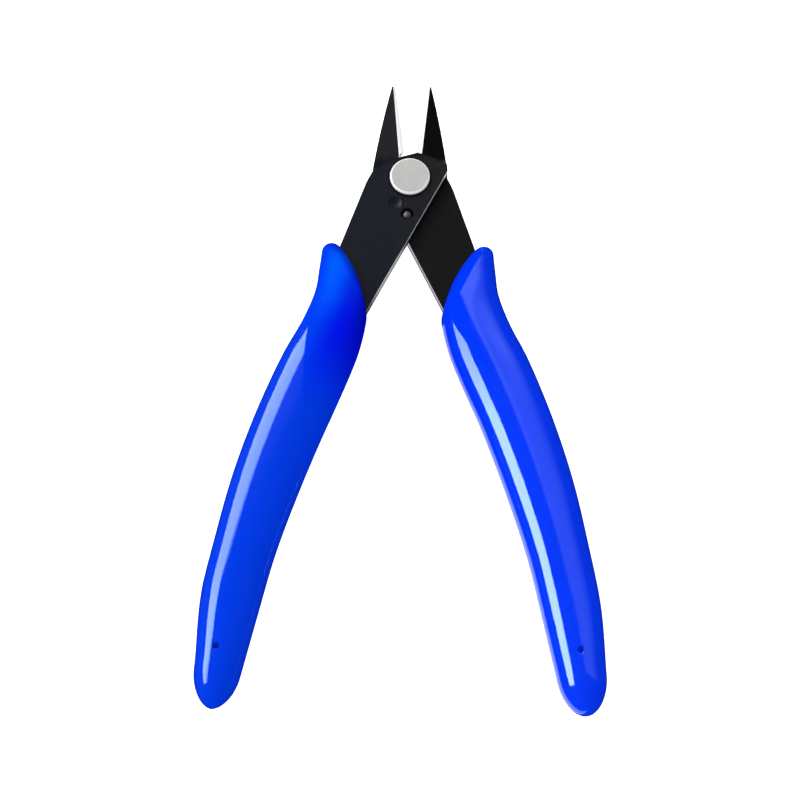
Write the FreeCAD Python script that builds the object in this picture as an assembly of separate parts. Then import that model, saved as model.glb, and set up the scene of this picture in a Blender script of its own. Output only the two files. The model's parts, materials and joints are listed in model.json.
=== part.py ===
"""Flush cutter: two lapped steel halves on a rivet, a hidden return spring and two dipped grips.

Frame: +Z along the pivot towards the rivet head, +Y towards the jaws, +X to the right,
millimetres. The origin is the middle of the open tool: on its centre line, at the plane where
the plates lap, half way along its length. Everything is drawn about the pivot axis instead, and
is moved by PIVOT_Y at the end. Each half is drawn with the cutter closed, with its cutting edge
on x = 0, and is then turned by HALF_ANGLE to the open rest position. The front half runs from
the left grip to the right jaw, and the rear half is its mirror image in plan, one plate
thickness lower.
"""
import FreeCAD, Part
import os
from math import acos, atan2, cos, degrees, hypot, radians, sin, tan

V = FreeCAD.Vector

# ---- Driving dimensions, mm and degrees ----
PLATE_T = 2.5            # thickness of each stamped plate
LAP_GAP = 0.02           # from the lap plane to either plate
HALF_ANGLE = 9.5         # each half stands this far open at rest
CLEARANCE = 0.05         # between parts that turn on each other
PIVOT_Y = 45.33          # the pivot axis stands this far towards the jaws from mid-length

RIVET_HEAD_R = 3.9
RIVET_HEAD_T = 0.78
RIVET_HEAD_CHAMFER = 0.35
RIVET_SHANK_R = 2.5
RIVET_TAIL_R = 3.0       # peened into a countersink, flush with the rear plate
RIVET_TAIL_T = 0.9
RIVET_END_PLAY = 0.03

FLUSH_ANGLE = 21.0       # the cutting plane against the plates
FLUSH_START_Y = 3.1      # where that plane leaves the underside of the rear plate
TIP_Y = 19.2
TIP_W = 0.7
TIP_T = 0.95             # height of the jaw at its tip
ROOT_Y = 5.4
ROOT_T = 2.8             # height of the jaw at ROOT_Y
EDGE_GAP = 0.015         # from the cutting edge to x = 0 when closed
BEVEL_RATIO = 0.47       # sideways lean of the ground bevel per unit of height

HEAD_R = 4.8             # pivot to the edge that the other half stops against
SHOULDER_CORNER = (7.0, 2.9)
JAW_CORNER = (6.75, 3.9)
JAW_MID = (4.3, 10.6)
JAW_SEAT = ((3.4, 6.6), (5.4, 6.9))   # the plate's corners under its jaw
HEEL = (-7.14, 0.64)     # outer end of the stop edge
HEEL_MID = (-7.72, -1.0)
HEEL_END = (-8.2, -2.8)
NOTCH_LOW = (-1.83, 4.43)
NOTCH_PEAK = (0.39, 5.54)
NOTCH_END = (1.5, 5.5)
RELIEF = ((1.75, 4.6), (1.25, 5.3), (1.1, 6.0))
EDGE_START_Y = 7.4       # the cutting edge runs from here to the tip
BEND_A = (2.41, 5.35)    # the front plate steps down to its jaw beyond this line
BEND_B = (6.13, 4.27)
BEND_RAMP_ANGLE = 42.0

NECK_INNER = (-2.8, -28.9)
NECK_OUTER = (-11.3, -21.2)
TANG_INNER = ((-5.3, -38.5), (-9.2, -55.0), (-13.0, -75.0), (-15.2, -100.5))
TANG_END = (-17.5, -102.9)
TANG_OUTER = ((-19.8, -100.5), (-18.8, -75.0), (-16.3, -55.0), (-13.2, -37.0))

WIRE_R = 0.62
COIL_R = 3.3             # mean radius of the spring round the rivet
COIL_START = -62.0       # angle of the coil's rear end at rest, and how far it then goes round
COIL_SWEEP = 310.0
FRONT_ANCHOR = (-0.38, -7.92)
FRONT_ANCHOR_HOLE_R = 1.25
FRONT_FOOT_R = 0.92      # the wire's front end is headed to a ball that shows in its hole
FRONT_FOOT_Z = 1.56
REAR_ANCHOR_R = 5.0      # distance from the pivot, in line with COIL_START
REAR_ANCHOR_HOLE_R = 0.72
POCKET_R = 4.08
POCKET_DEPTH = 1.36
WIRE_LOW_Z = -1.8        # centre of the wire's domed rear end
CHANNEL_W = 1.5
FAN_ROOM = 0.15          # beyond the tip of the arm that sweeps
FAN_MARGIN = 8.5         # degrees of room beside the arm that sweeps
# Coined hollows in the front face, at rest: place in plan, radius and depth.
HOLLOWS = (
    ((-2.8, -5.7), 1.35, 0.35),
    ((-1.0, -4.65), 0.34, 0.12),
    ((-1.0, -5.75), 0.34, 0.12),
)

GRIP_HALF_T = 4.75
# Along the handle: y, outer edge x, inner edge x and half thickness.
GRIP_STATIONS = (
    (-13.0, -13.0, 3.0, 4.3),
    (-24.0, -13.6, -1.6, 4.7),
    (-38.0, -16.4, -2.6, GRIP_HALF_T),
    (-50.0, -19.3, -5.3, GRIP_HALF_T),
    (-63.0, -21.3, -7.8, GRIP_HALF_T),
    (-77.0, -22.3, -10.1, GRIP_HALF_T),
    (-92.0, -22.6, -11.7, 4.6),
    (-103.0, -22.0, -12.3, 4.4),
    (-109.0, -20.9, -13.0, 3.9),
    (-112.3, -19.4, -14.2, 2.6),
    (-113.5, -17.6, -16.0, 1.0),
)
# The grip's mouth in plan, from below its inner edge up to the horn on its outer edge.
MOUTH = ((-1.6, -33.2), (-2.9, -31.2), (-5.6, -26.2), (-9.1, -21.0), (-10.5, -18.9))
HORN = ((-10.9, -17.3), (-12.1, -17.0), (-13.6, -18.6), (-14.4, -21.5))
GRIP_FRAME = ((-40, -25), (-40, -130), (10, -130), (10, -40))   # well outside the grip
LEFT_VENT = (-17.5, -103.6)
RIGHT_VENT = (17.25, -102.1)
VENT_R = 0.45

ABOVE = 12.0             # cutting tools reach this far past the material


def polar(radius, angle):
    """A point in plan at a radius and an angle in degrees."""
    return (radius * cos(radians(angle)), radius * sin(radians(angle)))


def at(point, z=0.0):
    return V(point[0], point[1], z)


def polyline(points):
    """Edges that join points in plan by straight lines."""
    return [Part.makeLine(at(a), at(b)) for a, b in zip(points, points[1:])]


def arc(a, b, c):
    """An arc in plan from a through b to c."""
    return [Part.Arc(at(a), at(b), at(c)).toShape()]


def spline(points):
    """A smooth curve in plan through points."""
    curve = Part.BSplineCurve()
    curve.interpolate([at(p) for p in points])
    return [curve.toShape()]


def prism(edges, low, high):
    """The solid between two heights inside a closed outline."""
    face = Part.Face(Part.Wire(Part.__sortEdges__(edges)))
    face.translate(V(0, 0, low))
    return face.extrude(V(0, 0, high - low))


def beyond(point, normal):
    """A large block on the outer side of the plane through point."""
    size = 400.0
    block = Part.makeBox(size, size, size, V(-size / 2, -size / 2, 0))
    block.Placement = FreeCAD.Placement(point, FreeCAD.Rotation(V(0, 0, 1), normal))
    return block


def rod(a, b, radius):
    return Part.makeCylinder(radius, (b - a).Length, a, b - a)


def mirrored(shape):
    return shape.mirror(V(0, 0, 0), V(1, 0, 0))


def turned(shape, angle):
    """The shape turned about the pivot axis."""
    copy = shape.copy()
    copy.rotate(V(0, 0, 0), V(0, 0, 1), angle)
    return copy


def turned_point(point, angle):
    return polar(hypot(*point), degrees(atan2(point[1], point[0])) + angle)


# ---- Worked out from the driving dimensions ----
FLUSH_SLOPE = tan(radians(FLUSH_ANGLE))
REAR_FACE_Z = -LAP_GAP - PLATE_T
FRONT_FACE_Z = LAP_GAP + PLATE_T
TOP_SLOPE = FLUSH_SLOPE + (TIP_T - ROOT_T) / (TIP_Y - ROOT_Y)
HEEL_ANGLE = degrees(atan2(HEEL[1], HEEL[0]))
STOP_ANGLE = HEEL_ANGLE - degrees(acos(HEAD_R / hypot(*HEEL)))
SHOULDER_ANGLE = 180.0 - (STOP_ANGLE - 2 * HALF_ANGLE)


def flush_z(y):
    """Height of the cutting plane."""
    return REAR_FACE_Z + (y - FLUSH_START_Y) * FLUSH_SLOPE


def under_flush():
    """Everything below the cutting plane."""
    return beyond(V(0, FLUSH_START_Y, REAR_FACE_Z), V(0, FLUSH_SLOPE, -1))


def above_jaw():
    """Everything above the jaw's upper face."""
    return beyond(V(0, ROOT_Y, flush_z(ROOT_Y) + ROOT_T), V(0, -TOP_SLOPE, 1))


def plate(low, high):
    """A half's flat plate with its tang, closed, drawn with its handle on the left."""
    stop_foot = polar(HEAD_R, STOP_ANGLE)
    notch_angle = degrees(atan2(NOTCH_LOW[1], NOTCH_LOW[0]))
    arc_end = polar(HEAD_R, notch_angle)
    arc_mid = polar(HEAD_R, (STOP_ANGLE + notch_angle) / 2)
    edges = polyline([SHOULDER_CORNER, NECK_INNER])
    edges += spline([NECK_INNER, *TANG_INNER])
    edges += arc(TANG_INNER[-1], TANG_END, TANG_OUTER[0])
    edges += spline([*TANG_OUTER, NECK_OUTER])
    edges += polyline([NECK_OUTER, HEEL_END])
    edges += arc(HEEL_END, HEEL_MID, HEEL)
    edges += polyline([HEEL, stop_foot])
    edges += arc(stop_foot, arc_mid, arc_end)
    edges += polyline([arc_end, NOTCH_PEAK, NOTCH_END, *JAW_SEAT, JAW_CORNER, SHOULDER_CORNER])
    return prism(edges, low, high)


def jaw():
    """A half's jaw, closed, on the right of x = 0, with its ground faces."""
    foot = polar(HEAD_R + CLEARANCE, SHOULDER_ANGLE)
    along = (sin(radians(SHOULDER_ANGLE)), -cos(radians(SHOULDER_ANGLE)))
    reach = (SHOULDER_CORNER[0] - foot[0]) / along[0]
    outer_end = (SHOULDER_CORNER[0], foot[1] + reach * along[1])
    near = (RELIEF[0][0] - foot[0]) / along[0]
    inner_end = (RELIEF[0][0], foot[1] + near * along[1])
    edges = polyline([inner_end, outer_end, JAW_CORNER])
    edges += arc(JAW_CORNER, JAW_MID, (TIP_W, TIP_Y))
    edges += polyline([(TIP_W, TIP_Y), (EDGE_GAP, TIP_Y), (EDGE_GAP, EDGE_START_Y)])
    edges += polyline([(EDGE_GAP, EDGE_START_Y), *reversed(RELIEF[1:]), inner_end])
    block = prism(edges, REAR_FACE_Z - 1, ABOVE)
    edge_point = V(EDGE_GAP, TIP_Y, flush_z(TIP_Y))
    bevel = beyond(edge_point, V(-1, -BEVEL_RATIO * FLUSH_SLOPE, BEVEL_RATIO))
    return block.cut(under_flush()).cut(above_jaw()).cut(bevel)


def step_cut():
    """The room above the front jaw, where its plate ramps down to the jaw's upper face."""
    line = at(BEND_B) - at(BEND_A)
    out = V(-line.y, line.x, 0).normalize()
    lean = radians(BEND_RAMP_ANGLE)
    ramp_normal = V(-out.x * sin(lean), -out.y * sin(lean), -cos(lean))
    ramp = beyond(at(BEND_A, FRONT_FACE_Z), ramp_normal.multiply(-1))
    return ramp.common(above_jaw())


def spring_pocket():
    """The recess in the back of the front plate that holds the spring, at rest."""
    low = LAP_GAP - 1
    high = LAP_GAP + POCKET_DEPTH
    pocket = Part.makeCylinder(POCKET_R, high - low, V(0, 0, low))
    start = at(polar(COIL_R, COIL_START + COIL_SWEEP), low)
    end = at(FRONT_ANCHOR, low)
    side = (end - start).normalize().cross(V(0, 0, 1)).multiply(CHANNEL_W / 2)
    corners = [start + side, end + side, end - side, start - side, start + side]
    channel = Part.Face(Part.makePolygon(corners)).extrude(V(0, 0, high - low))
    sweep = 2 * HALF_ANGLE + 2 * FAN_MARGIN
    fan_r = REAR_ANCHOR_R + WIRE_R + FAN_ROOM
    fan = Part.makeCylinder(fan_r, high - low, V(0, 0, low), V(0, 0, 1), sweep)
    fan = turned(fan, COIL_START + FAN_MARGIN - sweep)
    return pocket.fuse([channel, fan])


def drilled(point, radius):
    """A drill through both plates."""
    return Part.makeCylinder(radius, 2 * ABOVE, at(point, -ABOVE))


def hollow(place, radius, depth):
    """The ball that presses a shallow round hollow into the front face."""
    ball_r = (radius ** 2 + depth ** 2) / (2 * depth)
    return Part.makeSphere(ball_r, at(place, FRONT_FACE_Z - depth + ball_r))


def front_blade():
    body = plate(LAP_GAP, FRONT_FACE_Z).cut(step_cut()).fuse(jaw()).removeSplitter()
    body = turned(body, -HALF_ANGLE)
    body = body.cut(drilled((0, 0), RIVET_SHANK_R + CLEARANCE))
    body = body.cut(drilled(FRONT_ANCHOR, FRONT_ANCHOR_HOLE_R))
    return body.cut([spring_pocket()] + [hollow(*h) for h in HOLLOWS])


def rear_anchor():
    return polar(REAR_ANCHOR_R, COIL_START)


def rear_blade():
    raised = jaw().common(beyond(V(0, 0, REAR_FACE_Z), V(0, 0, 1)))
    body = plate(REAR_FACE_Z, -LAP_GAP).cut(under_flush())
    body = mirrored(body.fuse(raised).removeSplitter())
    body = turned(body, HALF_ANGLE)
    body = body.cut(drilled(rear_anchor(), REAR_ANCHOR_HOLE_R))
    return body.cut(pivot_rivet())


def pivot_rivet():
    head_z = FRONT_FACE_Z + RIVET_END_PLAY
    head = Part.makeCylinder(RIVET_HEAD_R, RIVET_HEAD_T, V(0, 0, head_z))
    rim = [e for e in head.Edges if e.BoundBox.ZMin > head_z + RIVET_HEAD_T / 2]
    head = head.makeChamfer(RIVET_HEAD_CHAMFER, [e for e in rim if e.Closed])
    shank = rod(V(0, 0, REAR_FACE_Z), V(0, 0, head_z), RIVET_SHANK_R)
    tail = Part.makeCone(RIVET_TAIL_R, RIVET_SHANK_R, RIVET_TAIL_T, V(0, 0, REAR_FACE_Z))
    return head.fuse([shank, tail]).removeSplitter()


def return_spring():
    """A round wire: an open coil round the rivet with one end bent into each plate."""
    z = LAP_GAP + WIRE_R + (POCKET_DEPTH - 2 * WIRE_R) / 2
    coil = Part.makeTorus(COIL_R, WIRE_R, V(0, 0, z), V(0, 0, 1), -180, 180, COIL_SWEEP)
    coil = turned(coil, COIL_START)
    front_start = at(polar(COIL_R, COIL_START + COIL_SWEEP), z)
    front_bend = at(FRONT_ANCHOR, z)
    front_tip = at(FRONT_ANCHOR, FRONT_FOOT_Z)
    rear_start = at(polar(COIL_R, COIL_START), z)
    rear_bend = at(rear_anchor(), z)
    rear_tip = at(rear_anchor(), WIRE_LOW_Z)
    rods = [rod(front_start, front_bend, WIRE_R), rod(front_bend, front_tip, WIRE_R)]
    rods += [rod(rear_start, rear_bend, WIRE_R), rod(rear_bend, rear_tip, WIRE_R)]
    corners = (front_start, front_bend, rear_start, rear_bend, rear_tip)
    balls = [Part.makeSphere(WIRE_R, corner) for corner in corners]
    balls.append(Part.makeSphere(FRONT_FOOT_R, front_tip))
    return coil.fuse(rods + balls)


def grip_section(station):
    """One elliptical section across the grip."""
    y, outer, inner, half_t = station
    half_w = (inner - outer) / 2
    centre = V((inner + outer) / 2, y, 0)
    if half_w >= half_t:
        ellipse = Part.Ellipse(centre + V(half_w, 0, 0), centre + V(0, 0, half_t), centre)
    else:
        ellipse = Part.Ellipse(centre + V(0, 0, half_t), centre + V(half_w, 0, 0), centre)
    return Part.Wire(ellipse.toShape())


def grip(mid_z):
    """A dipped grip on its tang, closed, on the left, centred at the plate's middle height."""
    body = Part.makeLoft([grip_section(s) for s in GRIP_STATIONS], True)
    body.translate(V(0, 0, mid_z))
    edges = spline([*MOUTH, *HORN])
    edges += polyline([HORN[-1], *GRIP_FRAME, MOUTH[0]])
    return body.common(prism(edges, -ABOVE, ABOVE))


def left_grip(blade):
    mid_z = (LAP_GAP + FRONT_FACE_Z) / 2
    body = turned(grip(mid_z), -HALF_ANGLE).cut(blade)
    vent = at(turned_point(LEFT_VENT, -HALF_ANGLE), FRONT_FACE_Z)
    return body.cut(rod(vent, vent + V(0, 0, ABOVE), VENT_R))


def right_grip(blade):
    mid_z = (REAR_FACE_Z - LAP_GAP) / 2
    body = turned(mirrored(grip(mid_z)), HALF_ANGLE).cut(blade)
    vent = at(turned_point(RIGHT_VENT, HALF_ANGLE), -LAP_GAP)
    return body.cut(rod(vent, vent + V(0, 0, ABOVE), VENT_R))


def main():
    front = front_blade()
    rear = rear_blade()
    parts = {
        "front_blade": front,
        "rear_blade": rear,
        "pivot_rivet": pivot_rivet(),
        "return_spring": return_spring(),
        "left_grip": left_grip(front),
        "right_grip": right_grip(rear),
    }
    os.makedirs("parts", exist_ok=True)
    for name, shape in parts.items():
        shape.translate(V(0, PIVOT_Y, 0))
        shape.exportStep(f"parts/{name}.step")


main()
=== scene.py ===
"""Flush cutter: the looks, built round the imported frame.

The blades and the rivet are the frame's own nodes with new materials. The two dipped grips and
the return spring are new meshes that stand for theirs. Handle and jaw shapes are given as in the
part: millimetres from the pivot, with the cutter closed and the handle on the left, and each half
is then turned to its open rest position. Side 1 is the half with the left grip and the right jaw,
and side -1 is the other. Colours are linear.
"""
import json
from math import atan2, cos, pi, radians, sin, tan
import bpy
import bmesh
from mathutils import Matrix, Vector


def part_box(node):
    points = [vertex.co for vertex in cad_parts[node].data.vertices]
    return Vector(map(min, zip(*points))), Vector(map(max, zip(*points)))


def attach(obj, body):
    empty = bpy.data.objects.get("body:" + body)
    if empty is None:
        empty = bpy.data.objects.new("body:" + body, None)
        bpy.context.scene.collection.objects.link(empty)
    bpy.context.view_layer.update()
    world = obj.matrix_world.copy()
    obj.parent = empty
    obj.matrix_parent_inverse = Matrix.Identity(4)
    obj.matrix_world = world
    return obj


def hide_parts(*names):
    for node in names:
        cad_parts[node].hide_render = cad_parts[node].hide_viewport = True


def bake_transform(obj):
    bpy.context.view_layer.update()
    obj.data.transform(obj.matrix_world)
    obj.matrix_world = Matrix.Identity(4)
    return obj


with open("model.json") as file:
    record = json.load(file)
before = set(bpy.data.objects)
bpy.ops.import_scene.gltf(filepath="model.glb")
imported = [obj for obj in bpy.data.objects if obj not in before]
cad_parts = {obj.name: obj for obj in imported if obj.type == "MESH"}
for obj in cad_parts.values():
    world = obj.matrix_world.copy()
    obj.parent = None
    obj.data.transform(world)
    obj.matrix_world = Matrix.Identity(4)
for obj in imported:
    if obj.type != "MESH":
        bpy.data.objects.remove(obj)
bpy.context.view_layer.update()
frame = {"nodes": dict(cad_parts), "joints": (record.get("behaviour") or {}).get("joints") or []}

MM = 0.001
PIVOT = Vector(frame["joints"][0]["pos_m"])
HALF_ANGLE = radians(9.5)        # each half is open by this much
GRIP_NODES = {1: "left_grip", -1: "right_grip"}

# ---- Jaws, mm ----
FLUSH_ANGLE = radians(21.0)      # the flush undersides rise forwards this steeply
BEVEL_RATIO = 0.47               # width of the ground bevel for its height
EDGE_X = 0.015                   # cutting edge to the closed tool's centre line
ROOT_Y, ROOT_T = 5.4, 2.8        # the bevel's root: ahead of the pivot, and its height
TIP_Y, TIP_T = 19.2, 0.95        # the same at its tip

# ---- Grip shape, mm ----
# Along the handle: outer edge x and y, inner edge x and y, half thickness.
GRIP_ROWS = (
    (-21.60, -106.5, -12.15, -106.5, 4.20),
    (-22.80, -93.0, -11.40, -94.5, 4.50),
    (-22.50, -80.0, -10.50, -81.5, 4.65),
    (-21.75, -67.0, -8.65, -68.5, 4.75),
    (-20.00, -54.0, -6.25, -55.5, 4.80),
    (-17.40, -41.5, -3.90, -45.0, 4.80),
    (-14.90, -33.2, -2.70, -39.0, 4.80),
    (-13.65, -26.8, -2.30, -35.6, 4.75),
    (-13.75, -22.0, -2.15, -33.0, 4.60),
    (-14.00, -17.75, -2.15, -31.2, 4.30),
)
GRIP_END_LENGTH = 7.1
GRIP_END_FIRST = 0.35            # where the end's first ring lies, in steps from its tip
HORN_CENTRE = (-12.05, -17.75)   # the outer end of the mouth rounds this
HORN_TURN = radians(150.0)
MOUTH_INNER = (-3.0, -28.8)      # the inner end of the mouth
MOUTH_BOW = 0.95
BOW_FROM = 4                     # the row from which the rings begin to bow like the mouth
LIP_LEAST = 0.06                 # thickness left at the lip's last ring, as a share
GRIP_AROUND = 72
GRIP_STEPS = 8                   # rings between two rows
GRIP_CAP_RINGS = 12
# Each grip's own small departures: how far its end and its mouth move along the handle, and how
# far the end's outer edge and the mouth's inner edge move sideways.
GRIP_SET = {1: (-0.9, -0.5), -1: (-0.1, 0.5)}
GRIP_TUCK = {1: (0.55, -0.5), -1: (0.0, 0.45)}
END_TUCK = (-90.0, -104.0)       # the sideways move starts and is whole at these
MOUTH_TUCK = (-52.0, -32.0)

# ---- Vent in the front of each grip, mm ----
VENT = {1: (-17.5, -103.6), -1: (-17.25, -102.1)}
VENT_R = 0.45
VENT_RIM = 1.3                   # where the hole starts to sink, in radii
VENT_STEEP = 2.2                 # how soon the hole's wall reaches its floor
VENT_SINK = 1.2
VENT_TOP = 4.2                   # height of the grip's front at its vent, from the plate's middle
VENT_CUTS = 5
VENT_SHADE = 1.7                 # where its painted shade is gone, in radii

# ---- Spring, mm, at rest ----
WIRE_R = 0.62
WIRE_AROUND = 20
WIRE_Z = 0.70
WIRE_LOW_Z = -2.1
WIRE_BEND = 0.55
WIRE_DOME = [radians(a) for a in (85, 70, 52, 34, 16)]
COIL_R = 3.3
COIL_START = radians(-62.0)
COIL_SWEEP = radians(310.0)
COIL_STEPS = 72
COIL_LEAD = 3                    # steps of the coil that its first and last bends take up
REAR_ANCHOR_R = 5.0
FRONT_ANCHOR = Vector((-0.38, -7.92))
FOOT_R = 0.92                    # the headed front end of the wire
FOOT_Z = 1.56
FOOT_STEPS = 12
FOOT_FROM, FOOT_TO = -44, 88     # degrees up the head's ball

# ---- Vinyl ----
LEFT_BLUE = (0.0006, 0.045, 0.80, 1)
# Painted shade on the inner side of the left grip's horn.
LEFT_PAINTED_SHADE = (0.0006, 0.0065, 0.80, 1)
# A painted highlight on the left grip's ridge by its mouth.
LEFT_RIDGE_HIGHLIGHT = (0.0006, 0.100, 0.98, 1)
# Painted shade on the left grip's inner side and round its lip.
LEFT_RIM_SHADE = (0.0006, 0.004, 0.48, 1)
# Painted shade in the left grip's vent.
LEFT_VENT_PAINTED_SHADE = (0.0003, 0.002, 0.10, 1)
RIGHT_BLUE = (0.0006, 0.040, 0.96, 1)
# Painted shade in the right grip's vent.
RIGHT_VENT_PAINTED_SHADE = (0.0003, 0.006, 0.45, 1)
SPECK_BLUE = (0.01, 0.10, 1.0, 1)
VINYL_TINT = (0.66, 1.0, 1.0, 1)
# A line over a grip: its slope, its value at 0 and the highest value it takes. The gloss ends at
# a line of mm along over the way across, and the right grip's matt patch lies inside a line of
# the way across over mm along. Each fades over a little of its own measure.
GLOSS_LINE = {1: (-18.6, -48.2, -35.9), -1: (30.0, -51.8, -32.3)}
GLOSS_FADE = 0.8
PATCH_LINE = (-0.109, -2.733, 0.16)
PATCH_FADE = 0.06

# ---- Steel ----
# The oxide left of the pivot, of each half right of it, and of each jaw: from and to, mottled. Their
# differences are painted light and shade: lighter and bluer on the left and on the left jaw, darker on the
# right, and darkest on the rear half's right part and on the right jaw.
OXIDE_PAINTED_LIT = ((0.0045, 0.0064, 0.0115, 1), (0.0068, 0.0090, 0.0150, 1))
OXIDES_PAINTED_SHADE = {
    1: ((0.0062, 0.0074, 0.0078, 1), (0.0086, 0.0098, 0.0104, 1)),
    -1: ((0.0016, 0.0018, 0.0020, 1), (0.0026, 0.0030, 0.0034, 1)),
}
JAW_OXIDES_PAINTED_LIGHT = {
    1: ((0.0008, 0.0008, 0.0012, 1), (0.0014, 0.0014, 0.0020, 1)),
    -1: ((0.0162, 0.0152, 0.0194, 1), (0.0197, 0.0184, 0.0229, 1)),
}
# The ground bevel of each half: from and to, in lines, and a greyer painted reflection beside its edge. The
# right jaw's is painted darker than the left one's, as shade.
BEVELS_WITH_PAINTED_LIGHT = {
    1: ((0.70, 0.72, 0.75, 1), (0.80, 0.82, 0.84, 1), (0.56, 0.59, 0.64, 1)),
    -1: ((0.94, 0.95, 0.95, 1), (0.99, 0.99, 0.99, 1), (0.78, 0.81, 0.86, 1)),
}
BEVEL_METAL = {1: 0.35, -1: 0.7}
OXIDE_SHINE = 0.11
# Places in mm. Two numbers are where a change starts and where it is whole.
LIGHT_TO_SHADE = (-6.0, 6.0)        # x: from the painted lighter oxide on the left to the painted darker one on the right
JAW_LIGHT_CHANGE = (3.2, 5.7)          # y: to the jaw's oxide, painted lighter on the left jaw and darker on the right one
EDGE_PAINTED_SHADE = (-12.3, -16.3)         # y: the sheared edges are painted darker past the crossing, as shade
LINE_LIFT = 0.5                  # the bright line on the sheared edges, above their middle
LINE_FADE = (0.3, 0.4)           # off the line's middle
RIVET_SHADOW_FADE = (0.3, 0.6)           # the painted shadow round the rivet's head, off its edge
FOOT_HOLE = (1.6, 1.7)           # off the spring's foot, where the bright line begins again
RIVET_GREYS = ((0.485, 0.485, 0.475, 1), (0.53, 0.53, 0.52, 1))
TURNING = 52000.0                # radians of the turned rings' wave for a metre of radius

# ---- Light that only mirror-like surfaces see ----
# A panel's size is its left, right, lower and upper edge, as tangents from its middle, and its
# softness the fade inside each. North is ahead of the pivot and east on its right.
KEY_TOWARDS = (-0.734, 0.398, 0.550)
KEY_ROLL = radians(22.0)
KEY_SIZE, KEY_SOFT = (-0.47, 0.65, -0.28, 0.27), (0.03, 0.03, 0.03, 0.03)
WING_SIZE, WING_SOFT = (-0.47, -0.02, 0.24, 0.41), (0.03, 0.06, 0.03, 0.03)
KEY_STRENGTH = 13.4
KEY_LOSS = 3.8                   # taken off the key towards the north
KEY_COLOUR = (1.0, 0.99, 1.0)
FILL_STRENGTH = 1.5
FILL_LOSS = 0.85                 # taken off the fill in the east
BASE_STRENGTH = 0.01
WHITE = (1.0, 1.0, 1.0)

# ---- Light that falls on everything else ----
SPREAD_STRENGTH = 1.05
SPREAD_LEAN = 0.55               # added on the left and taken off on the right

# ---- Floor, mm ----
FLOOR_SIZE = 6000.0
FLOOR_GAP = 0.1                  # below the grips
# Mirror-like surfaces see it pale in a patch under the head and in a strip along the right grip.
HEAD_SIDE = (12.0, 14.0)         # to either side of the pivot
HEAD_END = (-26.0, -22.0)        # y
STRIP_SLOPE, STRIP_START = -0.243, 4.7   # the strip's right edge: x for y, and x at the pivot
STRIP_LEFT = (-15.0, -13.0)      # its left edge, from the right one
HEAD_GLOW, STRIP_GLOW = 0.4, 1.2

# ---- Camera: a long lens above the handles ----
CAMERA_LENS = 200.0
CAMERA_SENSOR = 36.0
CAMERA_ELEVATION = radians(66.72)
CAMERA_AZIMUTH = radians(1.13)
CAMERA_DISTANCE = 869.7
CAMERA_AIM = Vector((1.92, -43.95, 3.33))   # right of the pivot, down from it, and its height


def turned(x, y, side):
    """A closed half's point in plan, turned about the pivot to where it rests."""
    angle = -side * HALF_ANGLE
    return Vector((x * cos(angle) - y * sin(angle), x * sin(angle) + y * cos(angle)))


def in_row(x, y, z):
    """Millimetres from the pivot to metres in the part's frame."""
    return PIVOT + Vector((x, y, z)) * MM


def plate_middle(side):
    """Height of a half's plate at its middle, which is its grip's middle too, in mm."""
    low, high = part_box(GRIP_NODES[side])
    return (low[2] + high[2]) / 2 / MM


def vent_at(side, height):
    """A grip's vent in the part's frame, at a height in mm."""
    x, y = VENT[side]
    plan = turned(x * side, y, side)
    return in_row(plan.x, plan.y, height)


def share_of(value, start, end):
    """How far a value is from start to end, from 0 to 1."""
    return min(1.0, max(0.0, (value - start) / (end - start)))


# ---------------------------------------------------------------- node helpers

class Tree:
    """Short calls for building a node tree."""

    def __init__(self, tree):
        self.tree = tree

    def add(self, kind, **settings):
        """A new node with some of its settings."""
        made = self.tree.nodes.new(kind)
        for key, value in settings.items():
            setattr(made, key, value)
        return made

    def put(self, socket, value):
        """Links a socket or sets a value."""
        if isinstance(value, bpy.types.NodeSocket):
            self.tree.links.new(value, socket)
        else:
            socket.default_value = value

    def maths(self, operation, a, b=0.0, c=0.0):
        """One step of arithmetic on numbers."""
        made = self.add("ShaderNodeMath", operation=operation)
        for socket, value in zip(made.inputs, (a, b, c)):
            self.put(socket, value)
        return made.outputs[0]

    def product(self, first, *others):
        """All the values multiplied together."""
        for other in others:
            first = self.maths("MULTIPLY", first, other)
        return first

    def vector_maths(self, operation, a, b=(0, 0, 0)):
        """One step of arithmetic on vectors."""
        made = self.add("ShaderNodeVectorMath", operation=operation)
        self.put(made.inputs[0], a)
        self.put(made.inputs[1], b)
        if operation in ("DOT_PRODUCT", "LENGTH", "DISTANCE"):
            return made.outputs["Value"]
        return made.outputs["Vector"]

    def spread(self, value, low, high, to_low=0.0, to_high=1.0, smooth=False):
        """Maps low..high to to_low..to_high."""
        made = self.add("ShaderNodeMapRange")
        if smooth:
            made.interpolation_type = "SMOOTHSTEP"
        for name, number in (("From Min", low), ("From Max", high), ("To Min", to_low), ("To Max", to_high)):
            self.put(made.inputs[name], number)
        self.put(made.inputs["Value"], value)
        return made.outputs["Result"]


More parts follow.
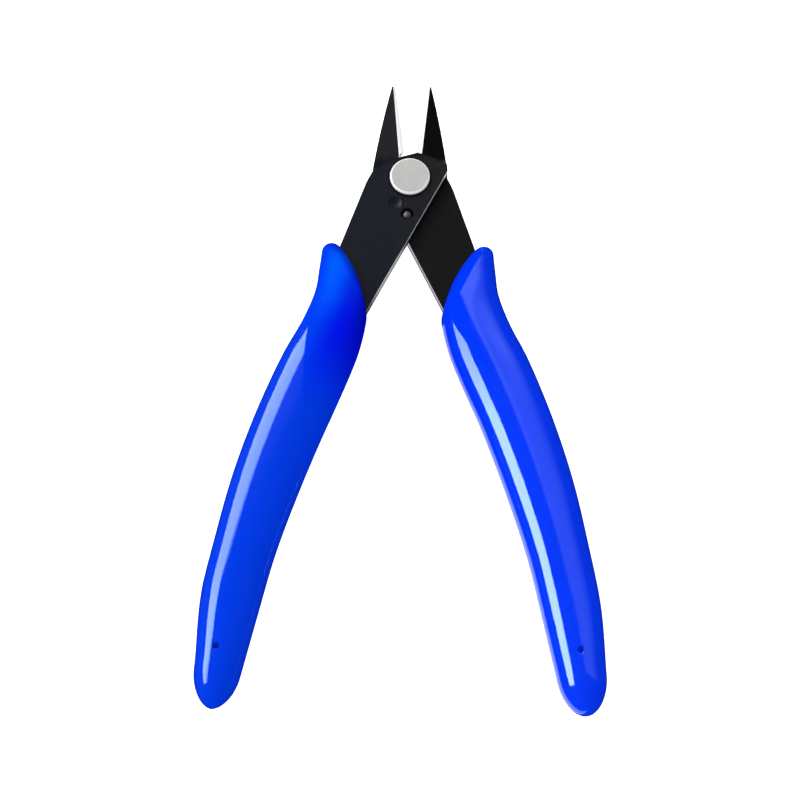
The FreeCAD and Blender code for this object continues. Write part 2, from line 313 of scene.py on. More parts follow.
class Nodes(Tree):
    """Builds one material's node tree.

    shader is its surface, coords are the object's own coordinates and place is the same from
    the pivot, both in metres.
    """

    def __init__(self, name):
        self.material = bpy.data.materials.new(name)
        self.material.use_nodes = True
        super().__init__(self.material.node_tree)
        self.shader = self.tree.nodes["Principled BSDF"]
        self.coords = self.add("ShaderNodeTexCoord").outputs["Object"]
        self.place = self.vector_maths("SUBTRACT", self.coords, tuple(PIVOT))

    def split(self, vector):
        """The x, y and z of a vector."""
        made = self.add("ShaderNodeSeparateXYZ")
        self.put(made.inputs[0], vector)
        return tuple(made.outputs)

    def stretched(self, scale, turn=0.0):
        """Object coordinates turned about Z and then scaled, for grain along one direction."""
        made = self.add("ShaderNodeMapping", vector_type="POINT")
        self.put(made.inputs["Vector"], self.coords)
        made.inputs["Rotation"].default_value = (0, 0, turn)
        made.inputs["Scale"].default_value = scale
        return made.outputs["Vector"]

    def noise(self, vector, scale=1.0, detail=4.0, roughness=0.55):
        """Soft noise over a vector, mostly between 0.3 and 0.7."""
        made = self.add("ShaderNodeTexNoise")
        self.put(made.inputs["Vector"], vector)
        made.inputs["Scale"].default_value = scale
        made.inputs["Detail"].default_value = detail
        made.inputs["Roughness"].default_value = roughness
        return made.outputs["Fac"]

    def from_noise(self, noise, low=0.0, high=1.0):
        """Maps the usual range of a noise to low..high."""
        return self.spread(noise, 0.3, 0.7, low, high)

    def mix(self, factor, a, b):
        """Mixes two colours."""
        made = self.add("ShaderNodeMix", data_type="RGBA")
        colour_inputs = [s for s in made.inputs if s.type == "RGBA"]
        self.put(made.inputs["Factor"], factor)
        self.put(colour_inputs[0], a)
        self.put(colour_inputs[1], b)
        return [s for s in made.outputs if s.type == "RGBA"][0]

    def blend(self, factor, a, b):
        """Mixes two numbers."""
        made = self.add("ShaderNodeMix", data_type="FLOAT")
        self.put(made.inputs["Factor"], factor)
        self.put(made.inputs[2], a)
        self.put(made.inputs[3], b)
        return made.outputs[0]

    def bump(self, height, distance, strength):
        """Tilts the shader's normal by a height. distance is in metres."""
        made = self.add("ShaderNodeBump")
        made.inputs["Strength"].default_value = strength
        made.inputs["Distance"].default_value = distance
        self.put(made.inputs["Height"], height)
        self.put(self.shader.inputs["Normal"], made.outputs["Normal"])

    def stored(self, name):
        """A number that the mesh keeps for each vertex."""
        return self.add("ShaderNodeAttribute", attribute_name=name).outputs["Fac"]

    def over_mm(self, value, limits, to_low=0.0, to_high=1.0, smooth=False):
        """spread() for a value in metres, with its limits in mm."""
        low, high = limits
        return self.spread(value, low * MM, high * MM, to_low, to_high, smooth)

    def hump(self, value, centre, width):
        """1 at centre, falling smoothly to 0 at width to either side."""
        off = self.maths("ABSOLUTE", self.maths("SUBTRACT", value, centre))
        return self.spread(off, 0.0, width, 1.0, 0.0, smooth=True)

    def past_line(self, value, other, line, fade):
        """1 where value is past a line drawn over other, rising from 0 over fade."""
        slope, start, top = line
        edge = self.maths("MINIMUM", self.maths("MULTIPLY_ADD", other, slope, start), top)
        return self.spread(self.maths("SUBTRACT", value, edge), 0.0, fade, smooth=True)

    def facing(self, direction, least, most):
        """1 on faces whose own normal points along direction, in the object's frame."""
        world = self.add("ShaderNodeNewGeometry").outputs["True Normal"]
        local = self.add("ShaderNodeVectorTransform", vector_type="NORMAL")
        local.convert_from = "WORLD"
        local.convert_to = "OBJECT"
        self.put(local.inputs[0], world)
        dot = self.vector_maths("DOT_PRODUCT", local.outputs[0], tuple(direction))
        return self.spread(dot, least, most)

    def set(self, **values):
        """Sets or links the shader's inputs by name, with _ for each space."""
        for name, value in values.items():
            self.put(self.shader.inputs[name.replace("_", " ")], value)


def grey(level, blue=1.0):
    """A grey, with its blue stronger or weaker."""
    return (level, level, level * blue, 1.0)


# ---------------------------------------------------------------- vinyl
#
# Three numbers kept in a grip's mesh place its shades. along is mm ahead of the pivot along the
# closed handle, so it is negative and highest at the mouth. across runs from -1 at the outer edge
# to 1 at the inner one. lip rises from 0 to 1 over the mouth's rounded rim.

def vent_shade(n, side):
    """1 in the grip's vent, fading out at its rim: where the vent's painted shade lies and the grip goes
    matt.
    """
    centre = vent_at(side, plate_middle(side) + VENT_TOP)
    away = n.vector_maths("DISTANCE", n.coords, tuple(centre))
    return n.spread(away, VENT_R * MM, VENT_SHADE * VENT_R * MM, 1.0, 0.0, smooth=True)


def vinyl(name, body):
    """Glossy dipped vinyl: slow colour drift, faint ripples from the dip and fine specks.

    Returns the nodes and the colour, for each grip to shade further.
    """
    n = Nodes(name)
    darker = tuple(0.93 * c for c in body[:3]) + (1,)
    colour = n.mix(n.from_noise(n.noise(n.coords, scale=60.0, detail=2.0)), darker, body)
    specks = n.spread(n.noise(n.coords, scale=5200.0, detail=1.0), 0.74, 0.8, 0.0, 0.12)
    colour = n.mix(specks, colour, SPECK_BLUE)
    rough = n.from_noise(n.noise(n.coords, scale=900.0, detail=3.0), 0.06, 0.11)
    ripple = n.noise(n.stretched((1.0, 0.45, 1.0)), scale=210.0, detail=1.5, roughness=0.4)
    peel = n.noise(n.coords, scale=1500.0, detail=2.0)
    n.bump(n.maths("MULTIPLY_ADD", peel, 0.06, ripple), distance=0.0001, strength=0.35)
    n.set(Roughness=rough, IOR=1.45, Specular_Tint=VINYL_TINT)
    return n, colour


def left_vinyl():
    """The left dip is matt at its mouth, with a painted highlight on the ridge there and painted shade on
    its inner side and round its lip.
    """
    n, colour = vinyl("left_vinyl", LEFT_BLUE)
    along, across, lip = n.stored("along"), n.stored("across"), n.stored("lip")
    # Painted shade: the horn's inner side darker, away from the light on the left.
    deep = n.product(n.hump(along, -35.0, 20.0), n.spread(across, -0.6, 0.3, smooth=True))
    colour = n.mix(deep, colour, LEFT_PAINTED_SHADE)
    outer_end = n.spread(across, -0.92, -0.55)
    # Painted highlight: a lighter band on the ridge near the mouth.
    ridge = n.product(n.hump(along, -22.0, 14.0), n.hump(across, -0.5, 0.8), outer_end)
    colour = n.mix(ridge, colour, LEFT_RIDGE_HIGHLIGHT)
    # Painted shade: darker on the inner side near the mouth and round the lip.
    inner = n.product(n.spread(along, -48.0, -30.0), n.spread(across, 0.3, 0.95, smooth=True))
    rim = n.spread(lip, 0.1, 0.5, 0.0, 0.5)
    colour = n.mix(n.maths("MAXIMUM", inner, rim), colour, LEFT_RIM_SHADE)
    # The vent gets painted shade and goes matt.
    vent = vent_shade(n, 1)
    matt = n.maths("MAXIMUM", vent, n.past_line(along, across, GLOSS_LINE[1], GLOSS_FADE))
    gloss = n.spread(across, -0.42, -0.28, 0.5, 0.12, smooth=True)
    n.set(Base_Color=n.mix(vent, colour, LEFT_VENT_PAINTED_SHADE), Specular_IOR_Level=n.blend(matt, gloss, 0.0))
    return n.material


def right_vinyl():
    """The right dip is matt round its lip and on a patch of its inner side next to the mouth."""
    n, colour = vinyl("right_vinyl", RIGHT_BLUE)
    along, across = n.stored("along"), n.stored("across")
    lip = n.spread(n.stored("lip"), 0.3, 0.5, smooth=True)
    patch = n.past_line(along, across, GLOSS_LINE[-1], GLOSS_FADE)
    patch = n.product(patch, n.past_line(across, along, PATCH_LINE, PATCH_FADE))
    # The vent gets painted shade and goes matt.
    vent = vent_shade(n, -1)
    matt = n.maths("MAXIMUM", n.maths("MAXIMUM", lip, vent), patch)
    streak_top = n.product(n.spread(along, -54.0, -34.0), n.spread(across, 0.2, 0.35))
    gloss = n.blend(streak_top, 0.8, 0.42)
    n.set(Base_Color=n.mix(vent, colour, RIGHT_VENT_PAINTED_SHADE), Specular_IOR_Level=n.blend(matt, gloss, 0.0))
    return n.material


# ---------------------------------------------------------------- steel

def in_plan(n, vector):
    """The length of a vector seen from above."""
    return n.vector_maths("LENGTH", n.vector_maths("MULTIPLY", vector, (1, 1, 0)))


def ground_faces(n, side):
    """1 on a jaw's ground bevel and on its flush underside."""
    bevel = Vector((-side, BEVEL_RATIO * -tan(FLUSH_ANGLE), BEVEL_RATIO)).normalized()
    flush = Vector((0, sin(FLUSH_ANGLE), -cos(FLUSH_ANGLE)))
    for normal in (bevel, flush):
        normal.rotate(Matrix.Rotation(-side * HALF_ANGLE, 3, "Z"))
    return n.maths("MAXIMUM", n.facing(bevel, 0.985, 0.995), n.facing(flush, 0.990, 0.998))


def burnished_line(n, side, z):
    """1 on the bright line round the sheared edges, except in the hole of the spring's foot."""
    flat = n.maths("MAXIMUM", n.facing((0, 0, 1), 0.25, 0.30), n.facing((0, 0, -1), 0.25, 0.30))
    sheared = n.maths("SUBTRACT", 1.0, flat)
    off_line = n.maths("ABSOLUTE", n.maths("SUBTRACT", z, (plate_middle(side) + LINE_LIFT) * MM))
    line = n.over_mm(off_line, LINE_FADE, 1.0, 0.0, smooth=True)
    from_foot = n.vector_maths("SUBTRACT", n.place, (*(FRONT_ANCHOR * MM), 0))
    return n.product(line, sheared, n.over_mm(in_plan(n, from_foot), FOOT_HOLE))


def burnished_colour(n, y):
    """Bright drag lines on the sheared edges, painted darker along the handles as shade."""
    drag = n.noise(n.stretched((700, 700, 9000)), detail=3.0)
    steel = n.mix(n.from_noise(drag), grey(0.90, 1.01), grey(0.99, 1.0))
    # Painted shade: the edges darker along the handles.
    return n.mix(n.over_mm(y, EDGE_PAINTED_SHADE), steel, grey(0.30, 1.02))


def oxide_and_painted_light(n, side, x, y):
    """The mottled oxide with painted light: lighter and bluish on the left, lighter on the left jaw and near
    black on the right one, and a painted shadow round the rivet.
    """
    mottle = n.from_noise(n.noise(n.coords, scale=330.0, detail=5.0, roughness=0.6))
    # Painted light: the oxide lighter on the left and darker on the right.
    into_shade = n.over_mm(x, LIGHT_TO_SHADE, smooth=True)
    colour = n.mix(into_shade, n.mix(mottle, *OXIDE_PAINTED_LIT), n.mix(mottle, *OXIDES_PAINTED_SHADE[side]))
    # Painted light and shade: the left jaw lighter, the right jaw near black.
    jaw = n.over_mm(y, JAW_LIGHT_CHANGE, smooth=True)
    colour = n.mix(jaw, colour, n.mix(mottle, *JAW_OXIDES_PAINTED_LIGHT[side]))
    # A painted shadow round the rivet's head.
    low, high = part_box("pivot_rivet")
    off_head = n.maths("SUBTRACT", in_plan(n, n.place), (high[0] - low[0]) / 2)
    rivet_shadow = n.over_mm(off_head, RIVET_SHADOW_FADE, 1.0, 0.0, smooth=True)
    return n.mix(rivet_shadow, colour, grey(0.001))


def edge_land(n, side):
    """The greyer strip of the ground bevel beside its cutting edge, a painted reflection."""
    turn = -side * HALF_ANGLE
    out = n.vector_maths("DOT_PRODUCT", n.place, (side * cos(turn), side * sin(turn), 0))
    ahead = n.vector_maths("DOT_PRODUCT", n.place, (-sin(turn), cos(turn), 0))
    height = n.over_mm(ahead, (ROOT_Y, TIP_Y), ROOT_T * MM, TIP_T * MM)
    width = n.maths("MULTIPLY", height, BEVEL_RATIO)
    share = n.maths("DIVIDE", n.maths("SUBTRACT", out, EDGE_X * MM), width)
    return n.spread(share, 0.45, 0.62, 1.0, 0.0, smooth=True)


def blackened_steel(name, side):
    """Black oxide on stamped plate with painted light and shade, brighter sheared edges and bright ground
    jaw faces.
    """
    n = Nodes(name)
    x, y, z = n.split(n.place)
    ground = ground_faces(n, side)
    burnish = burnished_line(n, side, z)
    grind = n.noise(n.stretched((9000, 500, 9000), side * HALF_ANGLE), detail=2.0)
    # Each bevel's painted light: the right jaw's darker, and a greyer painted reflection by the edge.
    dull, clean, land = BEVELS_WITH_PAINTED_LIGHT[side]
    bevel = n.mix(edge_land(n, side), n.mix(n.from_noise(grind), dull, clean), land)
    colour = n.mix(burnish, oxide_and_painted_light(n, side, x, y), burnished_colour(n, y))
    colour = n.mix(ground, colour, bevel)
    grain = n.noise(n.stretched((5200, 900, 5200), -side * radians(20)), detail=3.0)
    rough = n.blend(burnish, n.from_noise(grain, 0.34, 0.46), 0.36)
    rough = n.blend(ground, rough, 0.30)
    metal = n.blend(ground, n.maths("MULTIPLY", burnish, 0.2), BEVEL_METAL[side])
    n.bump(n.blend(ground, grain, grind), distance=0.00003, strength=0.25)
    n.set(Base_Color=colour, Roughness=rough, Metallic=metal, IOR=1.5, Specular_IOR_Level=OXIDE_SHINE)
    return n.material


def turned_steel(name):
    """The rivet: fine turning rings on the head and a painted highlight on its rim."""
    n = Nodes(name)
    jitter = n.maths("MULTIPLY", n.noise(n.coords, scale=1600.0, detail=2.0), 9.0)
    rings = n.maths("SINE", n.maths("MULTIPLY_ADD", in_plan(n, n.place), TURNING, jitter))
    colour = n.mix(n.from_noise(n.noise(n.coords, scale=420.0, detail=4.0)), *RIVET_GREYS)
    # Painted highlight: the rim's chamfer near white.
    rim = n.product(n.facing((0, 0, 1), 0.98, 0.90), n.facing((0, 0, 1), 0.35, 0.45))
    n.bump(rings, distance=0.000002, strength=0.3)
    n.set(Base_Color=n.mix(rim, colour, grey(0.99)), Metallic=n.blend(rim, 0.3, 0.1))
    n.set(Roughness=n.spread(rings, -1.0, 1.0, 0.36, 0.42))
    return n.material


def spring_steel(name):
    """Drawn wire, dark grey, with a satin tooth."""
    n = Nodes(name)
    cloud = n.from_noise(n.noise(n.coords, scale=1200.0, detail=3.0))
    rough = n.from_noise(n.noise(n.coords, scale=4000.0, detail=2.0), 0.48, 0.56)
    n.bump(n.noise(n.coords, scale=6000.0, detail=2.0), distance=0.00001, strength=0.3)
    n.set(Base_Color=n.mix(cloud, grey(0.08, 1.05), grey(0.12, 1.04)), Roughness=rough, Metallic=0.5)
    return n.material


# ---------------------------------------------------------------- floor

def paper(name):
    """The floor: plain, pale and matt, and glowing where the camera sees it.

    Mirror-like surfaces see dark cards on it, so that the grips keep deep edges. For them it
    stays pale in front of and under the head, and in a strip along the right grip's inner side.
    """
    n = Nodes(name)
    tooth = n.noise(n.coords, scale=900.0, detail=3.0)
    pale = n.mix(n.from_noise(tooth), grey(0.90), grey(0.92))
    x, y, _ = n.split(n.place)
    beside = n.over_mm(n.maths("ABSOLUTE", x), HEAD_SIDE, 1.0, 0.0)
    head = n.product(n.over_mm(y, HEAD_END), beside)
    strip_edge = n.maths("MULTIPLY_ADD", y, STRIP_SLOPE, STRIP_START * MM)
    strip = n.over_mm(n.maths("SUBTRACT", x, strip_edge), STRIP_LEFT)
    strip = n.product(strip, n.maths("LESS_THAN", x, strip_edge))
    seen = n.add("ShaderNodeLightPath").outputs
    cards = n.maths("SUBTRACT", 1.0, n.maths("MAXIMUM", head, strip))
    cards = n.product(cards, seen["Is Glossy Ray"])
    glow = n.maths("ADD", n.product(strip, STRIP_GLOW), n.product(head, HEAD_GLOW))
    glow = n.maths("MULTIPLY_ADD", glow, seen["Is Glossy Ray"], seen["Is Camera Ray"])
    n.set(Base_Color=n.mix(cards, pale, grey(0.004)), Roughness=0.9, Specular_IOR_Level=0.05)
    n.set(Emission_Color=grey(1.0), Emission_Strength=glow)
    return n.material


def lowest(made):
    """The lowest point of a mesh object, seen from its end: (x, z)."""
    point = min((v.co for v in made.data.vertices), key=lambda co: co.z)
    return Vector((point.x, point.z))


def floor(left_grip, right_grip):
    """A pale sheet that both grips rest on, so it leans a little."""
    a, b = lowest(left_grip), lowest(right_grip)
    lean = atan2(b.y - a.y, b.x - a.x)
    centre = Vector(((a.x + b.x) / 2, 0, (a.y + b.y) / 2 - FLOOR_GAP * MM))
    half = FLOOR_SIZE / 2 * MM
    corners = [Vector((x, y, 0)) for x, y in ((-half, -half), (half, -half), (half, half), (-half, half))]
    turn = Matrix.Rotation(-lean, 3, "Y")
    mesh_object("floor", [centre + turn @ c for c in corners], [(0, 1, 2, 3)], paper("floor_paper"))


# ---------------------------------------------------------------- mesh helpers

def mesh_object(name, verts, faces, material):
    """A smooth-shaded mesh object in the part's frame, from points in metres."""
    mesh = bpy.data.meshes.new(name)
    mesh.from_pydata([tuple(v) for v in verts], [], faces)
    bm = bmesh.new()
    bm.from_mesh(mesh)
    bmesh.ops.recalc_face_normals(bm, faces=bm.faces)
    for face in bm.faces:
        face.smooth = True
    bm.to_mesh(mesh)
    bm.free()
    mesh.materials.append(material)
    made = bpy.data.objects.new(name, mesh)
    bpy.context.scene.collection.objects.link(made)
    return made


def skin(rings):
    """Points and faces that join equal rings, with a fan on each end."""
    count = len(rings[0])
    verts = [p for ring in rings for p in ring]
    faces = []
    for k in range(len(rings) - 1):
        for i in range(count):
            j = (i + 1) % count
            faces.append((k * count + i, k * count + j, (k + 1) * count + j, (k + 1) * count + i))
    for ring, start in ((rings[0], 0), (rings[-1], (len(rings) - 1) * count)):
        verts.append(sum((Vector(p) for p in ring), Vector()) / count)
        for i in range(count):
            faces.append((start + i, start + (i + 1) % count, len(verts) - 1))
    return verts, faces


def between(a, b, c, d, t):
    """A smooth curve through four even values, t of the way from the second to the third."""
    return 0.5 * (2 * b + (c - a) * t + (2 * a - 5 * b + 4 * c - d) * t ** 2
                  + (3 * b - a - 3 * c + d) * t ** 3)


def smoothed(rows, steps):
    """Rows interpolated smoothly, with steps between each two."""
    before = tuple(2 * a - b for a, b in zip(rows[0], rows[1]))
    after = tuple(2 * a - b for a, b in zip(rows[-1], rows[-2]))
    padded = (before, *rows, after)
    out = []
    for k in range(1, len(padded) - 2):
        four = padded[k - 1:k + 3]
        for s in range(steps):
            out.append(tuple(between(*values, s / steps) for values in zip(*four)))
    out.append(rows[-1])
    return out


def store(made, name, values):
    """Keeps one number per vertex for the material to read."""
    layer = made.data.attributes.new(name, "FLOAT", "POINT")
    for item, value in zip(layer.data, values):
        item.value = value


# ---------------------------------------------------------------- grips

def section(outer, inner, half_t, bow):
    """One ring across the grip, from its two edges in plan: (x, y, z) in mm, z from the middle."""
    outer, inner = Vector(outer), Vector(inner)
    middle = (outer + inner) / 2
    half = (inner - outer) / 2
    ahead = Vector((-half.y, half.x)).normalized()
    ring = []
    for i in range(GRIP_AROUND):
        angle = 2 * pi * i / GRIP_AROUND
        across = cos(angle)
        plan = middle + half * across + ahead * bow * (1 - across ** 2)
        ring.append((plan.x, plan.y, half_t * sin(angle)))
    return ring


def end_rings():
    """The rounded end, whose width goes on tapering as its first two rows do."""
    rings = []
    first, second = GRIP_ROWS[:2]
    for k in range(GRIP_CAP_RINGS):
        angle = pi / 2 * (1 - (k + GRIP_END_FIRST) / GRIP_CAP_RINGS)
        beyond = GRIP_END_LENGTH * sin(angle)
        share = beyond / (second[1] - first[1])
        ox, _, ix, _, t = (a + (a - b) * share for a, b in zip(first, second))
        centre_x = (ox + ix) / 2
        half_w = (ix - ox) / 2 * cos(angle)
        y = first[1] - beyond
        rings.append(section((centre_x - half_w, y), (centre_x + half_w, y), t * cos(angle), 0))
    return rings


def body_rings():
    """The grip from its end to its mouth, bowing more and more from one row on."""
    rings = []
    rows = smoothed(GRIP_ROWS, GRIP_STEPS)
    for k, (ox, oy, ix, iy, t) in enumerate(rows):
        share = share_of(k, BOW_FROM * GRIP_STEPS, len(rows) - 1)
        rings.append(section((ox, oy), (ix, iy), t, MOUTH_BOW * share ** 2))
    return rings


def lip_rings():
    """The lip: its outer end turns round the horn while the whole thins out."""
    rings = []
    ox, _, ix, iy, t = GRIP_ROWS[-1]
    horn_r = HORN_CENTRE[0] - ox
    for k in range(1, GRIP_CAP_RINGS + 1):
        angle = pi / 2 * k / GRIP_CAP_RINGS
        round_horn = pi - HORN_TURN * k / GRIP_CAP_RINGS
        outer = (HORN_CENTRE[0] + horn_r * cos(round_horn), HORN_CENTRE[1] + horn_r * sin(round_horn))
        inner = (ix + (MOUTH_INNER[0] - ix) * (1 - cos(angle)), iy + (MOUTH_INNER[1] - iy) * sin(angle))
        rings.append(section(outer, inner, t * max(cos(angle), LIP_LEAST), MOUTH_BOW))
    return rings


def departed(x, y, across, side):
    """A point in plan with the grip's own small departures from the shared shape."""
    end_tuck, mouth_tuck = GRIP_TUCK[side]
    x += end_tuck * share_of(y, *END_TUCK) * (1 - across) / 2
    x += mouth_tuck * share_of(y, *MOUTH_TUCK) * (1 + across) / 2
    end_set, mouth_set = GRIP_SET[side]
    end_y, mouth_y = GRIP_ROWS[0][1], HORN_CENTRE[1]
    y += end_set + (mouth_set - end_set) * (y - end_y) / (mouth_y - end_y)
    return x, y


def grip(name, side, material):
    """A dipped grip, with what its material reads and its vent."""
    middle = plate_middle(side)
    rings, along, across, lip = [], [], [], []
    shared = end_rings() + body_rings() + lip_rings()
    for k, ring in enumerate(shared):
        placed = []
        for i, (x, y, z) in enumerate(ring):
            along.append(y)
            across.append(cos(2 * pi * i / GRIP_AROUND))
            lip.append(max(0.0, 1 - (len(shared) - 1 - k) / GRIP_CAP_RINGS))
            x, y = departed(x, y, across[-1], side)
            plan = turned(x * side, y, side)
            placed.append(in_row(plan.x, plan.y, middle + z))
        rings.append(placed)
    made = mesh_object(name, *skin(rings), material)
    store(made, "along", along + [along[0], along[-1]])
    store(made, "across", across + [0, 0])
    store(made, "lip", lip + [0, 1])
    sink_vent(made, side, middle)
    return made


def sink_vent(made, side, middle):
    """A small round hole pressed into the front of the grip near its end."""
    centre = vent_at(side, 0)
    bm = bmesh.new()
    bm.from_mesh(made.data)
    near = [f for f in bm.faces
            if (f.calc_center_median().xy - centre.xy).length < 4 * VENT_R * MM
            and f.normal.z > 0.2]
    edges = list({e for f in near for e in f.edges})
    bmesh.ops.subdivide_edges(bm, edges=edges, cuts=VENT_CUTS, use_grid_fill=True, smooth=0.0)
    reach = VENT_RIM * VENT_R * MM
    for v in bm.verts:
        away = (v.co.xy - centre.xy).length
        if away < reach and v.co.z > middle * MM:
            share = min(1.0, (1 - away / reach) * VENT_STEEP)
            v.co.z -= VENT_SINK * MM * share * share * (3 - 2 * share)
    for face in bm.faces:
        face.smooth = True
    bm.to_mesh(made.data)
    bm.free()


# ---------------------------------------------------------------- spring

def bent_path(corners, radius, steps=8):
    """A path through corners with each inner corner rounded, or kept if it is nearly straight."""
    path = [corners[0]]
    for before, corner, after in zip(corners, corners[1:], corners[2:]):
        back = (before - corner).normalized()
        on = (after - corner).normalized()
        turn = back.angle(on)
        if turn > radians(178):
            path.append(corner)
            continue
        leg = radius / tan(turn / 2)
        centre = corner + (back + on).normalized() * (radius / sin(turn / 2))
        a = corner + back * leg - centre
        b = corner + on * leg - centre
        whole = a.angle(b)
        for k in range(steps + 1):
            t = k / steps
            path.append(centre + (a * sin((1 - t) * whole) + b * sin(t * whole)) / sin(whole))
    path.append(corners[-1])
    return path


def circle(centre, axis, across, radius):
    """A ring of points square to an axis, from the side that across points to."""
    up = axis.cross(across)
    turns = [2 * pi * i / WIRE_AROUND for i in range(WIRE_AROUND)]
    return [centre + (across * cos(turn) + up * sin(turn)) * radius for turn in turns]


def tube(path, radius):
    """Rings round a path, carried along it without twist, with a dome on its start."""
    frames = []
    side = None
    for k in range(len(path)):
        tangent = (path[min(k + 1, len(path) - 1)] - path[max(k - 1, 0)]).normalized()
        side = side or tangent.orthogonal().normalized()
        side = (side - tangent * side.dot(tangent)).normalized()
        frames.append((tangent, side))
    rings = []
    for a in WIRE_DOME:
        rings.append(circle(path[0] - frames[0][0] * radius * sin(a), *frames[0], radius * cos(a)))
    for point, (tangent, across) in zip(path, frames):
        rings.append(circle(point, tangent, across, radius))
    return rings


def spring_path():
    """The wire's middle: up from the rear plate, round the rivet and up into the front plate."""
    rear = Vector((cos(COIL_START), sin(COIL_START))) * REAR_ANCHOR_R
    coil = []
    for k in range(COIL_STEPS + 1):
        angle = COIL_START + COIL_SWEEP * k / COIL_STEPS
        coil.append(in_row(COIL_R * cos(angle), COIL_R * sin(angle), WIRE_Z))
    arm = [in_row(*rear, WIRE_LOW_Z), in_row(*rear, WIRE_Z), coil[0], coil[COIL_LEAD]]
    tail = [coil[-1 - COIL_LEAD], coil[-1], in_row(*FRONT_ANCHOR, WIRE_Z), in_row(*FRONT_ANCHOR, FOOT_Z)]
    arm, tail = bent_path(arm, WIRE_BEND * MM), bent_path(tail, WIRE_BEND * MM)
    return arm[:-1] + coil[COIL_LEAD:-COIL_LEAD] + tail[1:]


def foot_rings(last):
    """The ball on the wire's front end, in rings whose points keep to those of the last one."""
    foot = in_row(*FRONT_ANCHOR, FOOT_Z)
    turns = [atan2(p.y - foot.y, p.x - foot.x) for p in last]
    rings = []
    for k in range(FOOT_STEPS + 1):
        angle = radians(FOOT_FROM + (FOOT_TO - FOOT_FROM) * k / FOOT_STEPS)
        rings.append([foot + Vector((cos(angle) * cos(t), cos(angle) * sin(t), sin(angle))) * FOOT_R * MM
                      for t in turns])
    return rings


def spring(name, material):
    """The return spring, with its headed front end in place of the path's last ring."""
    rings = tube(spring_path(), WIRE_R * MM)[:-1]
    return mesh_object(name, *skin(rings + foot_rings(rings[-1])), material)


# ---------------------------------------------------------------- carried nodes

def dress(node, material):
    """Gives a CAD node its material."""
    slots = frame["nodes"][node].data.materials
    slots.clear()
    slots.append(material)


# ---------------------------------------------------------------- light and camera

class Sky(Tree):
    """Builds the studio that surrounds the tool, as nodes on the direction a ray leaves in."""

    def __init__(self):
        world = bpy.data.worlds.new("studio")
        bpy.context.scene.world = world
        world.use_nodes = True
        super().__init__(world.node_tree)
        self.tree.nodes.clear()
        self.direction = self.add("ShaderNodeTexCoord").outputs["Generated"]

    def along(self, *axis):
        """How far the direction points along an axis."""
        return self.vector_maths("DOT_PRODUCT", self.direction, axis)

    def edge(self, value, start, width):
        """0 below start, rising smoothly to 1 over width."""
        return self.spread(value, start, start + width, smooth=True)

    def panel(self, towards, roll, size, soft):
        """A soft box seen towards a direction, as a mask, with the fade inside each edge."""
        out = Vector(towards).normalized()
        across = Vector((-out.y, out.x, 0)).normalized()
        up = out.cross(across)
        turn = Matrix.Rotation(roll, 3, out)
        depth = self.along(*out)
        safe = self.maths("MAXIMUM", depth, 0.05)
        x = self.maths("DIVIDE", self.along(*(turn @ across)), safe)
        y = self.maths("DIVIDE", self.along(*(turn @ up)), safe)
        left, right, low, high = (
            self.edge(x, size[0], soft[0]), self.edge(self.product(x, -1.0), -size[1], soft[1]),
            self.edge(y, size[2], soft[2]), self.edge(self.product(y, -1.0), -size[3], soft[3]))
        return self.product(self.maths("GREATER_THAN", depth, 0.05), left, right, low, high)

    def light(self, strength, colour):
        """An even light, or one shaped by a strength that comes from nodes."""
        made = self.add("ShaderNodeBackground")
        self.put(made.inputs["Color"], (*colour, 1))
        self.put(made.inputs["Strength"], strength)
        return made.outputs[0]

    def sum(self, a, b):
        """Two lights together."""
        made = self.add("ShaderNodeAddShader")
        self.put(made.inputs[0], a)
        self.put(made.inputs[1], b)
        return made.outputs[0]

    def finish(self, mirrored, spread):
        """Glossy rays see the first light, and all others the second."""
        path = self.add("ShaderNodeLightPath")
        mix = self.add("ShaderNodeMixShader")
        self.put(mix.inputs[0], path.outputs["Is Glossy Ray"])
        self.put(mix.inputs[1], spread)
        self.put(mix.inputs[2], mirrored)
        self.put(self.add("ShaderNodeOutputWorld").inputs[0], mix.outputs[0])


def key_light(sky):
    """One large soft box on the left, with a wing on its far side, weaker to the north."""
    box = sky.panel(KEY_TOWARDS, KEY_ROLL, KEY_SIZE, KEY_SOFT)
    wing = sky.panel(KEY_TOWARDS, KEY_ROLL, WING_SIZE, WING_SOFT)
    loss = sky.product(sky.edge(sky.along(0, 1, 0), 0.35, 0.2), KEY_LOSS)
    strength = sky.product(sky.maths("ADD", box, wing), sky.maths("SUBTRACT", KEY_STRENGTH, loss))
    return sky.light(strength, KEY_COLOUR)


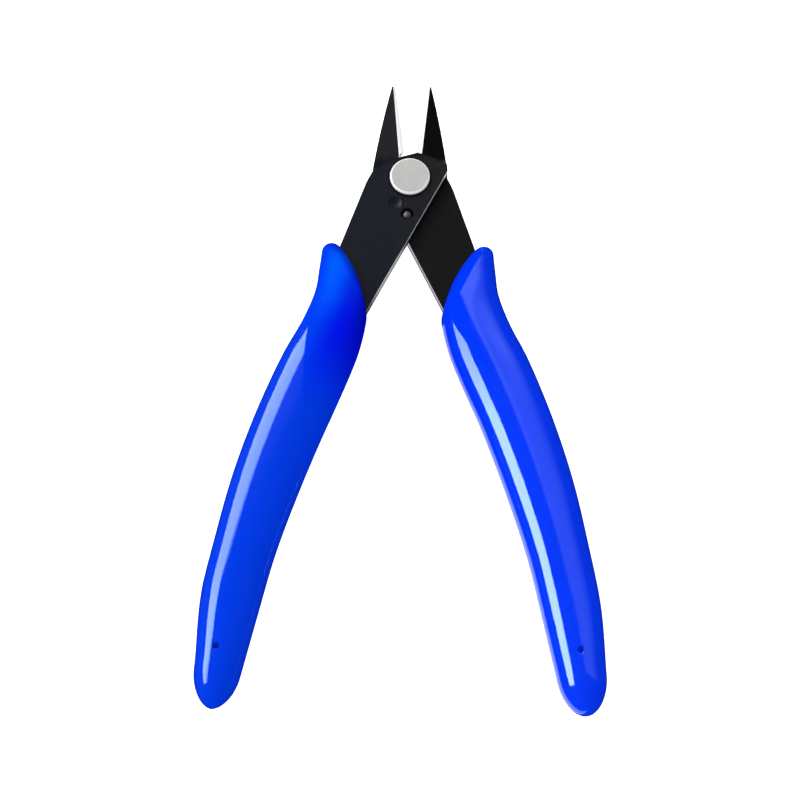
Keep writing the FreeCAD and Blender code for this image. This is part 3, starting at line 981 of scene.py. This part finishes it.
def fill_light(sky):
    """A broad weak light over the head, dimmer in the east except in the far north."""
    east = sky.along(1, 0, 0)
    north_side = sky.edge(sky.along(0.25, 1, 0), 0.335, 0.08)
    fill = sky.product(north_side, sky.edge(east, -0.5, 0.04), sky.edge(sky.along(0, 0, 1), 0.25, 0.55))
    far_north = sky.edge(sky.along(-0.3, 1, 0), 0.42, 0.08)
    dimmed = sky.product(sky.edge(east, -0.12, 0.28), sky.maths("SUBTRACT", 1.0, far_north))
    strength = sky.maths("SUBTRACT", FILL_STRENGTH, sky.product(dimmed, FILL_LOSS))
    return sky.light(sky.product(fill, strength), WHITE)


def studio():
    """Even light from everywhere, stronger from the left, and soft boxes for the highlights."""
    sky = Sky()
    lean = sky.product(sky.along(-1, 0.2, 0), SPREAD_LEAN)
    spread = sky.light(sky.maths("ADD", lean, SPREAD_STRENGTH), WHITE)
    mirrored = sky.sum(key_light(sky), fill_light(sky))
    mirrored = sky.sum(mirrored, sky.light(BASE_STRENGTH, WHITE))
    sky.finish(mirrored, spread)


def camera():
    """A long lens above and behind the handles, square to the tool."""
    e, a = CAMERA_ELEVATION, CAMERA_AZIMUTH
    back = Vector((sin(a) * cos(e), -cos(a) * cos(e), sin(e)))
    right = Vector((cos(a), sin(a), 0))
    up = back.cross(right)
    data = bpy.data.cameras.new("camera")
    data.lens = CAMERA_LENS
    data.sensor_width = CAMERA_SENSOR
    data.clip_start = 0.01
    made = bpy.data.objects.new("camera", data)
    made.rotation_euler = Matrix((right, up, back)).transposed().to_euler()
    target = in_row(0, 0, CAMERA_AIM.z)
    made.location = target - (right * CAMERA_AIM.x - up * CAMERA_AIM.y - back * CAMERA_DISTANCE) * MM
    bpy.context.scene.collection.objects.link(made)
    bpy.context.scene.camera = made


# ---------------------------------------------------------------- the scene

dress("front_blade", blackened_steel("front_plate_steel", 1))
dress("rear_blade", blackened_steel("rear_plate_steel", -1))
dress("pivot_rivet", turned_steel("rivet_steel"))

left = grip("left_dipped_grip", 1, left_vinyl())
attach(left, "front_half")
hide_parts("left_grip")
right = grip("right_dipped_grip", -1, right_vinyl())
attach(right, "rear_half")
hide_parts("right_grip")

wire = spring("return_spring_wire", spring_steel("spring_wire"))
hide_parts("return_spring")
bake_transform(wire)

floor(left, right)
studio()
camera()
bpy.context.scene.view_settings.view_transform = "Standard"
